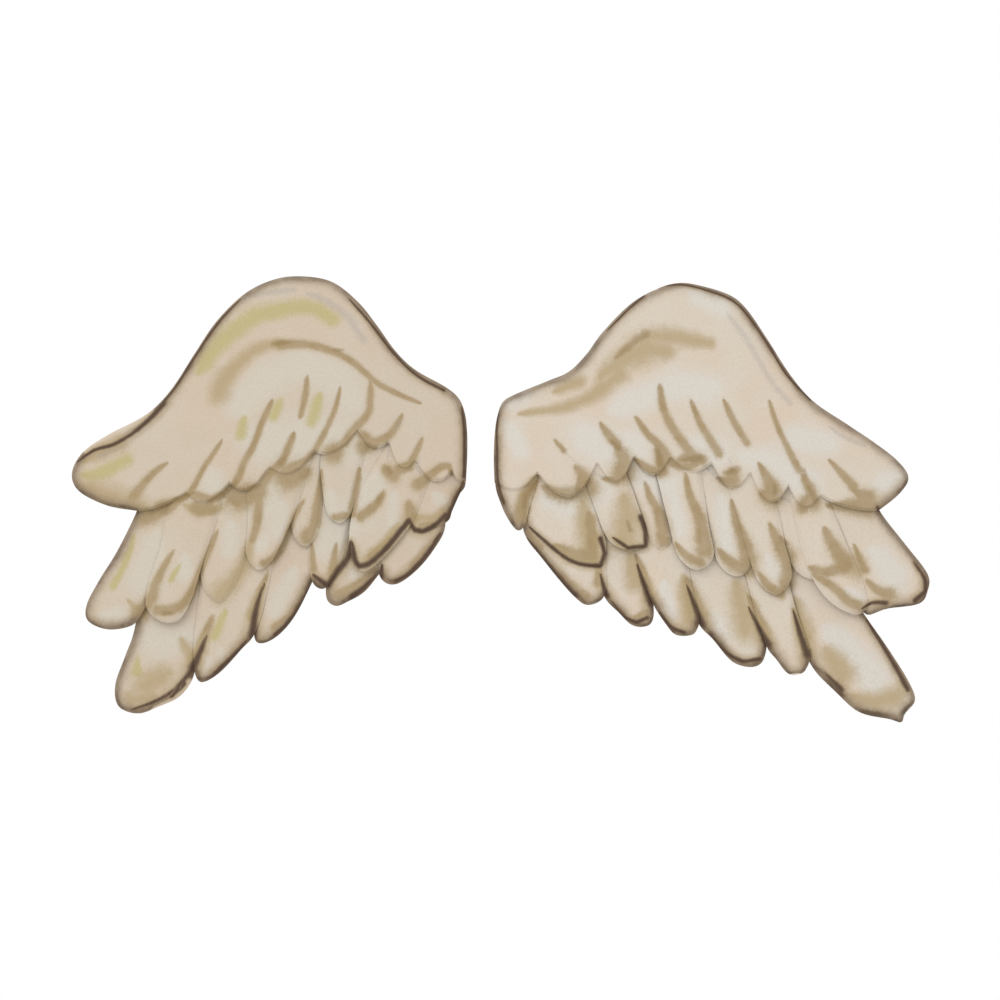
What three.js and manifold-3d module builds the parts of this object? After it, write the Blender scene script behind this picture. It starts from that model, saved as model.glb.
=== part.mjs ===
// A pair of costume fairy wings, worn as two pin-on pieces, in millimetres with +Z up.
// Each wing is a stack of cut card: a back panel, a row of long primary feathers, a row of
// secondary feathers and an arm panel with a scalloped lower edge. The front faces -Y.
// A steel bar pin lies on the back of each panel, and its needle swings away towards +Y.
// The origin is midway between the two wings, on their common back plane, at pin height.

import * as THREE from 'three';
import Module from 'manifold-3d';
import { mergeVertices } from 'three/addons/utils/BufferGeometryUtils.js';

const wasm = await Module();
wasm.setup();

// Overall sizes. An outline point is [outwards from the root edge, upwards from the pin].
const ROOT_GAP = 8;              // between the root edges of the two wings
const SPAN_STRETCH = 1;          // outward stretch of every outline, 1 as drawn
const HEIGHT_STRETCH = 1;        // upward stretch of every outline, 1 as drawn

// Card.
const PANEL_THICK = 1.5;
const PRIMARY_THICK = 1;
const SECONDARY_THICK = 1;
const ARM_THICK = 1.25;
const CURVE_STEPS = 4;           // straight pieces between two outline points

// Bar pin.
const BAR_LENGTH = 38;
const BAR_HEIGHT = 5;
const BAR_THICK = 0.75;
const BAR_OUT = 26;              // middle of the bar from the root edge
const NEEDLE_STANDOFF = 4.25;    // needle axis from the back plane
const NEEDLE_RADIUS = 0.5;
const NEEDLE_PAST_CATCH = 2;
const POINT_LENGTH = 4;
const POINT_RADIUS = 0.12;
const CLEARANCE = 0.3;
const ROUND_SIDES = 20;

// Hinge end of the bar pin.
const RIVET_RADIUS = 0.7;
const RIVET_HEAD_RADIUS = 1.3;
const RIVET_HEAD_THICK = 0.5;
const EYE_WALL = 0.8;
const EYE_THICK = 1.4;
const EAR_THICK = 0.7;
const EAR_WALL = 0.9;
const EAR_FROM_END = 2.5;        // hinge axis from the outer end of the bar

// Catch end of the bar pin.
const CATCH_FROM_END = 3;        // middle of the catch from the inner end of the bar
const RING_WALL = 0.8;
const RING_LENGTH = 2.5;
const SLEEVE_WALL = 0.7;
const FLANGE_OVERHANG = 0.8;     // flange past the bore that the sleeve turns in
const FLANGE_THICK = 0.6;
const TAB_REACH = 2.2;
const TAB_WIDTH = 1.6;
const TAB_TURN = -80;            // degrees from the slot, so that it clears the bar

// Outlines of the left wing.
const LEFT_PANEL = [[3, -14], [3, 2], [6.5, 9], [19, 17], [27, 27], [36, 38], [47, 43], [60, 41],
  [72, 33], [80, 21], [88, 9], [98, 1.5], [108, -5], [114, -11], [111, -17], [96, -22], [99, -34],
  [106, -46], [103, -54], [92, -60], [78, -61], [62, -53], [48, -41], [36, -40], [24, -36], [12, -29],
  [6.5, -21]];

const LEFT_ARM = {
  top: [[0.4, -15.8], [0, -8], [0, -1], [0.7, 5], [2.6, 9.6], [6.6, 13], [15.6, 18.1], [21.6, 23.8],
    [27, 31.3], [32.6, 38.3], [40, 44.2], [48, 46.1], [57, 45.5], [66.3, 41.3], [75, 33], [81.5, 23.5],
    [89, 12], [96.5, 4.6], [108, -1.5], [115.5, -6.8], [118.7, -13], [116.5, -18.4], [108, -22.7],
    [98.6, -24.3]],
  lobes: [[92, -24, 84.5, -19.2], [78.8, -26.5, 71.5, -16], [66, -22.5, 59.5, -11.5],
    [53, -17.5, 46, -6.5], [40, -10, 33, -0.5], [28.5, -8.5, 23.5, -3.5], [20.5, -17, 15.5, -9.5],
    [10, -20, 4.5, -12.5], [3, -16.5, 0.4, -15.8]],
};

const LEFT_SECONDARIES = [
  [[84, -6], [95, -14], [100, -25.8], [105.5, -36.8], [110.4, -44.7], [114.4, -52.5], [113.9, -57.4],
    [108, -59.9], [101, -58.8], [98, -55.5], [95.3, -50], [91, -40], [86.5, -28], [78, -10]],
  [[86, -8], [90, -22], [92, -34], [95.5, -45], [96.5, -53], [92, -57.5], [86.5, -57], [82.5, -50],
    [79.5, -40], [75.5, -28], [70, -8]],
  [[75, -2], [79, -18], [79.5, -30], [80.5, -40], [79, -48], [74.5, -52], [70.5, -48], [67, -40],
    [63, -27], [58, -4]],
  [[61, 2], [66, -14], [66, -28], [66.5, -37], [63, -42], [58.5, -39], [54, -30], [50, -20], [45, -2]],
  [[52, 2], [54, -12], [53.5, -24], [52, -32], [48.5, -35], [45, -31], [43.5, -22], [43, -10], [38, 6]],
  [[40, 4], [44, -8], [43.5, -18], [42, -25], [38.5, -28], [35, -25], [33.5, -18], [31.5, -10], [27, 2]],
  [[30, 2], [35, -8], [36.5, -18], [35, -25], [32, -28], [28.5, -25], [26.5, -19], [23, -8], [18, 2]],
  [[21, 0], [25.5, -6.5], [33, -20], [35.5, -31], [34.5, -38], [32, -42.3], [28.5, -41.3], [23, -36],
    [18.5, -30.5], [15.5, -26], [10, -10], [12, 0]],
  [[1.2, -6], [0.5, -15.8], [2.3, -19.3], [4.5, -24.2], [5.7, -27.2], [10, -29.5], [14.5, -31], [17.5, -28.5],
    [19, -24], [20, -14], [16, -4]],
];

const LEFT_PRIMARIES = [
  [[93, -20], [97.5, -40], [100, -59], [102.9, -67.8], [105.9, -76.5], [104.9, -83], [99, -85.2],
    [92.5, -83], [86.4, -80], [82.5, -74.4], [81, -66], [78, -54], [70, -20]],
  [[76, -16], [79.5, -40], [82, -60], [82.3, -70], [81.2, -74.8], [78.8, -75.6], [74, -72.5],
    [68, -66], [63.7, -60.7], [60, -48], [54, -16]],
  [[60, -12], [62, -34], [62.3, -48], [64, -58], [63.8, -63.2], [61, -64], [56.5, -61.4],
    [52.1, -56.2], [48.1, -48.7], [45.3, -42], [42, -30], [38, -10]],
  [[44, -8], [47.5, -28], [47.7, -40], [46.4, -46], [43.2, -47.7], [40, -44], [37, -37], [34, -24], [30, -8]],
  [[33, -6], [38, -22], [41, -36], [42.5, -46], [42.2, -51], [39.5, -52.9], [36, -51.6], [31.3, -48.9],
    [27.3, -44.3], [23, -38], [18, -26], [14, -8]],
  [[18, -4], [24, -18], [26.5, -32], [26.8, -42], [24.6, -45.9], [20.5, -46], [14.8, -41.7],
    [10, -35.8], [6.7, -29.3], [7, -20], [8, -6]],
];

// Outlines of the right wing, which is cut by eye and is no exact mirror of the left.
const RIGHT_PANEL = [[3, -14], [3, 2], [6.5, 8], [22, 14.5], [31, 23], [40, 34], [50, 40.5], [62, 39.5],
  [72, 35.5], [80, 25], [88, 13], [97, 5], [108, -2], [116, -8.5], [119.5, -14], [112, -21], [115, -30],
  [122, -39], [124, -46], [114, -50], [106, -56], [92, -60], [76, -58], [58, -50], [42, -44], [28, -40],
  [16, -33], [9, -25]];

const RIGHT_ARM = {
  top: [[0.2, -15.8], [0, -9], [0.2, -2], [1, 4], [2.8, 8.5], [6.8, 10.9], [16, 14.7], [22.6, 17.6],
    [27.9, 22.9], [32.6, 29.3], [41, 37.8], [49.2, 42.5], [56, 44.2], [63.1, 43.1], [71.1, 40.4], [76, 36.2],
    [82, 27.5], [89, 16.6], [96, 8.6], [106, 1.8], [114.2, -3.7], [121.1, -9.1], [124.5, -14.2],
    [121.8, -19.1], [115.4, -24.3]],
  lobes: [[106, -24.5, 98, -20], [93, -29, 88.5, -17], [82.5, -29, 77, -13], [71.5, -24, 65.5, -10],
    [59, -16, 53, -8.5], [48, -19, 42, -8], [37, -23, 31, -10], [23.5, -29, 13, -13],
    [8, -22, 0.2, -15.8]],
};

const RIGHT_SECONDARIES = [
  [[98, -8], [110, -14], [116.6, -25.1], [123.8, -34.4], [130.4, -43.2], [130.4, -48.4], [127.7, -52.2],
    [118.1, -53.7], [112.2, -55.5], [109.5, -51], [107, -42], [103, -30], [92, -10]],
  [[94, -8], [101, -22], [106, -34], [111, -46], [112.3, -53], [108.5, -55.4], [101.5, -52],
    [96, -45], [92, -34], [87, -10]],
  [[90, -8], [99, -24], [103, -34], [105, -41], [99, -45], [91.5, -43], [86.5, -34], [82.5, -22], [76, -6]],
  [[80, -6], [85, -22], [87.5, -34], [89.5, -44], [85, -49.5], [79.5, -45.5], [76, -36], [72.5, -24], [66, -4]],
  [[70, -4], [74.5, -18], [77, -30], [78, -40], [73, -44], [67.5, -40], [64.5, -30], [61, -18], [56, -2]],
  [[60, 0], [62.5, -14], [64.5, -28], [66, -38], [61, -42], [55.5, -38], [52.5, -28], [49.5, -16], [45, 0]],
  [[48, 2], [49.5, -12], [51.5, -24], [53.5, -33], [50, -36], [46, -32.5], [43.2, -24], [38.5, -12], [33, 0]],
  [[36, -4], [41, -16], [44.5, -26], [46.3, -33], [44.5, -35.3], [40, -36], [34.5, -33], [30.5, -24], [25, -8]],
  [[24, -6], [30, -18], [33, -30], [33.8, -37], [32, -40.8], [26, -40.3], [18, -36], [12, -30.5],
    [10, -26], [10, -8]],
  [[1.2, -6], [0.4, -15.8], [2.1, -22.1], [4.2, -26.6], [6.9, -30], [9, -29], [10.5, -24], [13, -15], [13, -5]],
];

const RIGHT_PRIMARIES = [
  [[88, -20], [103, -42], [111.6, -55.5], [118.6, -65.6], [124.8, -75.6], [126.7, -81.3], [123.7, -85.2],
    [122.5, -87.8], [118.9, -86.9], [109.9, -84.8], [102.8, -78.7], [96, -71.5], [92.5, -63], [89.5, -50],
    [80, -20]],
  [[80, -16], [86, -36], [91, -54], [95, -66.3], [93.8, -72], [91, -73.5], [88.2, -73], [85, -69],
    [82, -65], [79, -56], [74, -38], [66, -14]],
  [[67.5, -14], [74, -34], [79, -50], [82, -62], [81.4, -68.5], [79, -71], [75, -71], [71, -69],
    [66, -63], [61.5, -58], [58, -48], [52, -14]],
  [[54, -12], [57, -30], [59.5, -46], [61.8, -56], [60.8, -60.5], [58.5, -61.8], [54.5, -61.4],
    [51.5, -58], [48, -52.5], [45, -45], [42, -34], [38, -12]],
  [[40, -10], [43.5, -28], [46, -42], [48, -52], [47.8, -57.2], [45.5, -59.1], [41.5, -58.6],
    [37.6, -54.9], [33.4, -50.3], [31, -42], [28, -28], [26, -10]],
  [[26, -8], [30, -22], [33, -36], [34, -46], [32.6, -50.8], [28.2, -52.6], [24.6, -50.4],
    [20, -45.4], [14.3, -38.3], [9.8, -32.4], [8.5, -26], [9, -10]],
];

const paintedCard = new THREE.MeshStandardMaterial({ color: 0xd8ccba, roughness: 0.85, metalness: 0 });
const plainCard = new THREE.MeshStandardMaterial({ color: 0xcdbfa8, roughness: 0.9, metalness: 0 });
const nickelSteel = new THREE.MeshStandardMaterial({ color: 0xb9b9b6, roughness: 0.35, metalness: 1 });

// The layers, counted from the back plane towards the front. Neighbouring feathers of a row
// lie on two levels by turns, so that each one overlaps the next without cutting it.
const PRIMARY_LEVEL = PANEL_THICK;
const SECONDARY_LEVEL = PRIMARY_LEVEL + 2 * PRIMARY_THICK;
const ARM_LEVEL = SECONDARY_LEVEL + 2 * SECONDARY_THICK;

// Sizes that follow from the needle and the rivet.
const EYE_HOLE_RADIUS = RIVET_RADIUS + CLEARANCE;
const EYE_RADIUS = EYE_HOLE_RADIUS + EYE_WALL;
const EAR_RADIUS = EYE_HOLE_RADIUS + EAR_WALL;
const EAR_INNER_FACE = EYE_THICK / 2 + CLEARANCE;
const EAR_OUTER_FACE = EAR_INNER_FACE + EAR_THICK;
const SLEEVE_BORE = NEEDLE_RADIUS + CLEARANCE;
const SLEEVE_RADIUS = SLEEVE_BORE + SLEEVE_WALL;
const RING_BORE = SLEEVE_RADIUS + CLEARANCE;
const RING_RADIUS = RING_BORE + RING_WALL;
const FLANGE_RADIUS = RING_BORE + FLANGE_OVERHANG;
const SLOT_WIDTH = 2 * (NEEDLE_RADIUS + CLEARANCE);
const BAR_INNER_END = ROOT_GAP / 2 + BAR_OUT - BAR_LENGTH / 2;
const BAR_OUTER_END = BAR_INNER_END + BAR_LENGTH;
const HINGE_OUT = BAR_OUTER_END - EAR_FROM_END;
const CATCH_OUT = BAR_INNER_END + CATCH_FROM_END;

// A closed geometry as a solid for joining and cutting.
function toSolid(geometry) {
  const bare = geometry.clone();
  bare.deleteAttribute('normal');
  bare.deleteAttribute('uv');
  const merged = mergeVertices(bare);
  const vertProperties = Float32Array.from(merged.attributes.position.array);
  const triVerts = Uint32Array.from(merged.index.array);
  return new wasm.Manifold(new wasm.Mesh({ numProp: 3, vertProperties, triVerts }));
}

function toGeometry(solid) {
  const mesh = solid.getMesh();
  const geometry = new THREE.BufferGeometry();
  geometry.setAttribute('position', new THREE.BufferAttribute(mesh.vertProperties, 3));
  geometry.setIndex(new THREE.BufferAttribute(mesh.triVerts, 1));
  geometry.computeVertexNormals();
  return geometry;
}

function joined(geometries) {
  const solids = geometries.map(toSolid);
  return solids.reduce((whole, next) => whole.add(next));
}

// An outline point on its own wing: side is -1 on the left wing and 1 on the right.
function placed([out, up], side) {
  return new THREE.Vector2(side * (ROOT_GAP / 2 + out * SPAN_STRETCH), up * HEIGHT_STRETCH);
}

// A smooth curve from the first point to the last, closed by a straight line at the root.
function featherShape(points, side) {
  const places = points.map((point) => placed(point, side));
  const shape = new THREE.Shape();
  shape.moveTo(places[0].x, places[0].y);
  shape.splineThru(places.slice(1));
  return shape;
}

// The arm's top edge is one smooth curve, and each scallop below it is one bowed curve.
function armShape(arm, side) {
  const shape = featherShape(arm.top, side);
  for (const [bowOut, bowUp, endOut, endUp] of arm.lobes) {
    const bow = placed([bowOut, bowUp], side);
    const end = placed([endOut, endUp], side);
    shape.quadraticCurveTo(bow.x, bow.y, end.x, end.y);
  }
  return shape;
}

// A flat sheet cut to a shape, with its back face at a level in front of the back plane.
function sheet(name, shape, thickness, level, material) {
  const geometry = new THREE.ExtrudeGeometry(shape, {
    depth: thickness,
    bevelEnabled: false,
    curveSegments: CURVE_STEPS,
  });
  geometry.rotateX(Math.PI / 2);
  geometry.translate(0, -level, 0);
  const mesh = new THREE.Mesh(geometry, material);
  mesh.name = name;
  return mesh;
}

// A row of feathers, whose even members lie one sheet further forward than the odd ones.
function featherRow(name, outlines, side, thickness, level) {
  return outlines.map((points, index) => {
    const step = (index % 2) * thickness;
    const shape = featherShape(points, side);
    return sheet(`${name}_${index + 1}`, shape, thickness, level + step, paintedCard);
  });
}

// A round plate about the Y axis of its own frame, from y = 0 to its thickness.
function disc(radius, thickness) {
  const plate = new THREE.CylinderGeometry(radius, radius, thickness, ROUND_SIDES);
  plate.translate(0, thickness / 2, 0);
  return plate;
}

function block(lengthX, lengthY, lengthZ, x, y, z) {
  const geometry = new THREE.BoxGeometry(lengthX, lengthY, lengthZ);
  geometry.translate(x, y, z);
  return geometry;
}

// A round bar along X between two places, centred on the needle's axis.
function alongX(radius, from, to) {
  const bar = disc(radius, to - from);
  bar.rotateZ(-Math.PI / 2);
  bar.translate(from, NEEDLE_STANDOFF, 0);
  return bar;
}

// A round bar along Z between two heights, centred on the hinge's axis.
function alongZ(radius, from, to) {
  const bar = disc(radius, to - from);
  bar.rotateX(Math.PI / 2);
  bar.translate(HINGE_OUT, NEEDLE_STANDOFF, from);
  return bar;
}

// The slot that the needle drops through, cut from the catch's axis out past its rim.
function slotCutter(from, to) {
  const reach = FLANGE_RADIUS + TAB_REACH;
  const middle = (from + to) / 2;
  return block(to - from, reach, SLOT_WIDTH, middle, NEEDLE_STANDOFF + reach / 2, 0);
}

// The flat bar with the hinge's two ears at its outer end and the catch's ring near the root.
function pinBar() {
  const ringFrom = CATCH_OUT - RING_LENGTH / 2;
  const ringTo = CATCH_OUT + RING_LENGTH / 2;
  const neckHeight = NEEDLE_STANDOFF - RING_BORE - CLEARANCE;
  const plate = block(BAR_LENGTH, BAR_THICK, BAR_HEIGHT, BAR_INNER_END + BAR_LENGTH / 2, BAR_THICK / 2, 0);
  const neck = block(RING_LENGTH, neckHeight, BAR_HEIGHT / 2, CATCH_OUT, neckHeight / 2, 0);
  const ring = toSolid(alongX(RING_RADIUS, ringFrom, ringTo));
  const bore = toSolid(alongX(RING_BORE, ringFrom - 1, ringTo + 1));
  const slot = toSolid(slotCutter(ringFrom - 1, ringTo + 1));
  let bar = joined([plate, neck]).add(ring).subtract(bore).subtract(slot);
  for (const end of [-1, 1]) {
    const middle = end * (EAR_INNER_FACE + EAR_THICK / 2);
    const foot = block(2 * EAR_RADIUS, NEEDLE_STANDOFF, EAR_THICK, HINGE_OUT, NEEDLE_STANDOFF / 2, middle);
    const eye = alongZ(EAR_RADIUS, middle - EAR_THICK / 2, middle + EAR_THICK / 2);
    bar = bar.add(toSolid(foot)).add(toSolid(eye));
  }
  return bar.subtract(toSolid(alongZ(EYE_HOLE_RADIUS, -BAR_HEIGHT, BAR_HEIGHT)));
}

// The rivet through both ears, with a flat head clear of each ear's outer face.
function hingeRivet() {
  const headFoot = EAR_OUTER_FACE + CLEARANCE;
  const headTop = headFoot + RIVET_HEAD_THICK;
  return joined([
    alongZ(RIVET_RADIUS, -headTop, headTop),
    alongZ(RIVET_HEAD_RADIUS, -headTop, -headFoot),
    alongZ(RIVET_HEAD_RADIUS, headFoot, headTop),
  ]);
}

// The needle: an eye round the rivet, and a shaft that ends in a point past the catch.
function needle() {
  const tip = CATCH_OUT - RING_LENGTH / 2 - FLANGE_THICK - CLEARANCE - NEEDLE_PAST_CATCH;
  const shaftLength = HINGE_OUT - EYE_HOLE_RADIUS - EYE_WALL / 2 - tip;
  const profile = [
    new THREE.Vector2(0, 0),
    new THREE.Vector2(POINT_RADIUS, 0),
    new THREE.Vector2(NEEDLE_RADIUS, POINT_LENGTH),
    new THREE.Vector2(NEEDLE_RADIUS, shaftLength),
    new THREE.Vector2(0, shaftLength),
  ];
  const shaft = new THREE.LatheGeometry(profile, ROUND_SIDES);
  shaft.rotateZ(-Math.PI / 2);
  shaft.translate(tip, NEEDLE_STANDOFF, 0);
  const eye = toSolid(alongZ(EYE_RADIUS, -EYE_THICK / 2, EYE_THICK / 2));
  const hole = toSolid(alongZ(EYE_HOLE_RADIUS, -EYE_THICK, EYE_THICK));
  return eye.add(toSolid(shaft)).subtract(hole);
}

// The turning catch: a slotted sleeve in the ring, a flange at each end, and a thumb tab.
function turningCatch() {
  const flangeFoot = RING_LENGTH / 2 + CLEARANCE;
  const flangeTop = flangeFoot + FLANGE_THICK;
  const tab = block(FLANGE_THICK, FLANGE_RADIUS + TAB_REACH, TAB_WIDTH,
    CATCH_OUT - flangeFoot - FLANGE_THICK / 2, (FLANGE_RADIUS + TAB_REACH) / 2, 0);
  tab.rotateX(THREE.MathUtils.degToRad(TAB_TURN));
  tab.translate(0, NEEDLE_STANDOFF, 0);
  const body = joined([
    alongX(SLEEVE_RADIUS, CATCH_OUT - flangeTop, CATCH_OUT + flangeTop),
    alongX(FLANGE_RADIUS, CATCH_OUT - flangeTop, CATCH_OUT - flangeFoot),
    alongX(FLANGE_RADIUS, CATCH_OUT + flangeFoot, CATCH_OUT + flangeTop),
    tab,
  ]);
  const bore = toSolid(alongX(SLEEVE_BORE, CATCH_OUT - 2 * flangeTop, CATCH_OUT + 2 * flangeTop));
  const slot = toSolid(slotCutter(CATCH_OUT - 2 * flangeTop, CATCH_OUT + 2 * flangeTop));
  return body.subtract(bore).subtract(slot);
}

// A steel piece, worked out on the right wing and mirrored for the left.
function steelPiece(name, solid, side) {
  const sided = side < 0 ? solid.mirror([1, 0, 0]) : solid;
  const mesh = new THREE.Mesh(toGeometry(sided), nickelSteel);
  mesh.name = name;
  return mesh;
}

function barPin(wing, side) {
  const group = new THREE.Group();
  group.add(steelPiece(`${wing}_pin_bar`, pinBar(), side));
  group.add(steelPiece(`${wing}_hinge_rivet`, hingeRivet(), side));
  group.add(steelPiece(`${wing}_needle`, needle(), side));
  group.add(steelPiece(`${wing}_catch`, turningCatch(), side));
  return group;
}

function wing(name, side, panel, primaries, secondaries, arm) {
  const group = new THREE.Group();
  group.add(sheet(`${name}_back_panel`, featherShape(panel, side), PANEL_THICK, 0, plainCard));
  group.add(...featherRow(`${name}_primary`, primaries, side, PRIMARY_THICK, PRIMARY_LEVEL));
  group.add(...featherRow(`${name}_secondary`, secondaries, side, SECONDARY_THICK, SECONDARY_LEVEL));
  group.add(sheet(`${name}_arm_panel`, armShape(arm, side), ARM_THICK, ARM_LEVEL, paintedCard));
  group.add(barPin(name, side));
  return group;
}

const wings = new THREE.Group();
wings.add(wing('left', -1, LEFT_PANEL, LEFT_PRIMARIES, LEFT_SECONDARIES, LEFT_ARM));
wings.add(wing('right', 1, RIGHT_PANEL, RIGHT_PRIMARIES, RIGHT_SECONDARIES, RIGHT_ARM));

export default wings;
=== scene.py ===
"""A pair of costume fairy wings in layered, hand-painted card, with a steel bar pin behind each.

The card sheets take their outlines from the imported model, bend gently towards their tips and
carry marker, pencil and ink work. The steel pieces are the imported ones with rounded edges.
"""

import bmesh
import bpy
import numpy as np
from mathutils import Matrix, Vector


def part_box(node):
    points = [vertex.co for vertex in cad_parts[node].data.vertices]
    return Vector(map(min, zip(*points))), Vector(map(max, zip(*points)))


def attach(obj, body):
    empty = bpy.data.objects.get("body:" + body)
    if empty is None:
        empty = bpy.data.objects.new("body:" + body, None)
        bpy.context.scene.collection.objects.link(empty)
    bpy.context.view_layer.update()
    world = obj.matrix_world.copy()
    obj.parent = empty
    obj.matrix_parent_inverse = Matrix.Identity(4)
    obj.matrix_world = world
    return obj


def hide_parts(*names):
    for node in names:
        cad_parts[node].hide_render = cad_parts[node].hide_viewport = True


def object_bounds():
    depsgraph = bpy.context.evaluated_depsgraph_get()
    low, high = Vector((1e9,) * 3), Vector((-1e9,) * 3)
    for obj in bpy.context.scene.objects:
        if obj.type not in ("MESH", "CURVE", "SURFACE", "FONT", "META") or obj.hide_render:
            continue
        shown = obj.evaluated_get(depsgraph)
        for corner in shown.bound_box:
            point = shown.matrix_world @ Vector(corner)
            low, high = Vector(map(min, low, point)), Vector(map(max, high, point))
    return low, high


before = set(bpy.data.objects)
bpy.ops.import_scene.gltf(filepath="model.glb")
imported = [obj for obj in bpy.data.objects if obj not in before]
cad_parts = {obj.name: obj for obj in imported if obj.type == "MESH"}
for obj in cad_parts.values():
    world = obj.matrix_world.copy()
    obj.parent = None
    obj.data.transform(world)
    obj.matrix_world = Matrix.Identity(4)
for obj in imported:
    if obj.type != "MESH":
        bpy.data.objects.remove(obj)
cad_low, cad_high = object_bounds()

# ---------------------------------------------------------------- sizes, in millimetres

MM = 0.001
TINY = 1e-9                     # keeps a division away from nought

# The card sheets.
CARD_THICK = 0.6                # a feather as seen, which leaves room for its camber
ARM_THICK = 1.0
CAMBER = 0.3                    # how far the middle of a feather stands proud of its edges
CAMBER_WIDTH = 6.0              # a feather this wide or wider has its whole camber
TIP_LIFT = 2.2                  # how far the lowest tips curl forwards
LIFT_START = -10.0              # height at which the curl starts
LIFT_REACH = 78.0               # drop over which it builds up
SCORE_DEPTH = 0.22              # grooves pressed into the arm panel along its strokes
EDGE_THICK = 0.12               # a sheet's cut edge, which lies on the layer behind
EDGE_REACH = 1.8                # how far in from its edge a feather gains its thickness
ARM_EDGE_REACH = 1.0
EDGE_PRESS = 0.12               # how far glue pulls the edge back onto the layer behind
LEVEL_MARGIN = 0.05             # how far a sheet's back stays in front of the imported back

# How finely the sheets are worked out.
FEATHER_STEPS = (84, 30)        # along a feather, and across its front
ARM_STEPS = (260, 120)
OUTLINE_STEPS = 3               # points for each side of a packed outline
STROKE_STEPS = 4                # points for each length of a stroke
SHARP_TURN = 0.6                # radians, past which an outline's corner stays a corner
SAME_LEVEL = 0.01               # how closely points of one face agree in y
SAME_PLACE_DECIMALS = 4         # corners that agree to this many decimals are one
CREEP = 1e-7                    # keeps each step along an edge ahead of the one before
DOUBLES = 0.0003                # points closer than this are merged

# The paint.
STROKE_REACH = 12.0             # past which a stroke does not matter to a sheet
FAR = 6.0                       # the ratio stored where no stroke is near
TAPER = 0.45                    # a stroke's width at its very start, as a share
TAPER_LENGTH = 2.0              # length over which it opens out
SWELL_POWER = 1.5               # above 1, a stroke swells late
RIM_SPACING = 0.4               # between the points that stand for the outer rim
RIM_WEIGHT_UPRIGHT = 0.75       # ink on an upright edge, as a share of the most
RIM_WEIGHT_SLOPE = 0.7          # how much less there is where the edge faces straight up
RIM_WEIGHT_LEAST = 0.25
PLACES_AT_ONCE = 4000

# Rounded edges of the back card and of the steel.
CARD_ROUNDING = 0.2
BAR_ROUNDING = 0.12
RIVET_ROUNDING = 0.1
PIN_ROUNDING = 0.08
ROUNDING_SEGMENTS = 3
ROUNDED_ANGLE = np.radians(35)  # an edge that turns by less is left as it is

# The floor, the lamp and the camera.
FLOOR_DROP = 400.0
FLOOR_RADIUS = 1500.0
FLOOR_SIDES = 96
LAMP_PLACE = (-550.0, -850.0, 650.0)
LAMP_SIZE = 700.0
LAMP_WATTS = 3.0
LENS = 150.0
SENSOR = 36.0
VIEW_WIDTH = 300.0              # what the camera takes in at the wings
VIEW_CENTRE = (5.85, -21.0)
NEAREST = 50.0                  # between these two the camera sees
FURTHEST = 20000.0

# ---------------------------------------------------------------- marker work
# A stroke is (half width at its start, half width at its end, its points as x and z).

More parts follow.
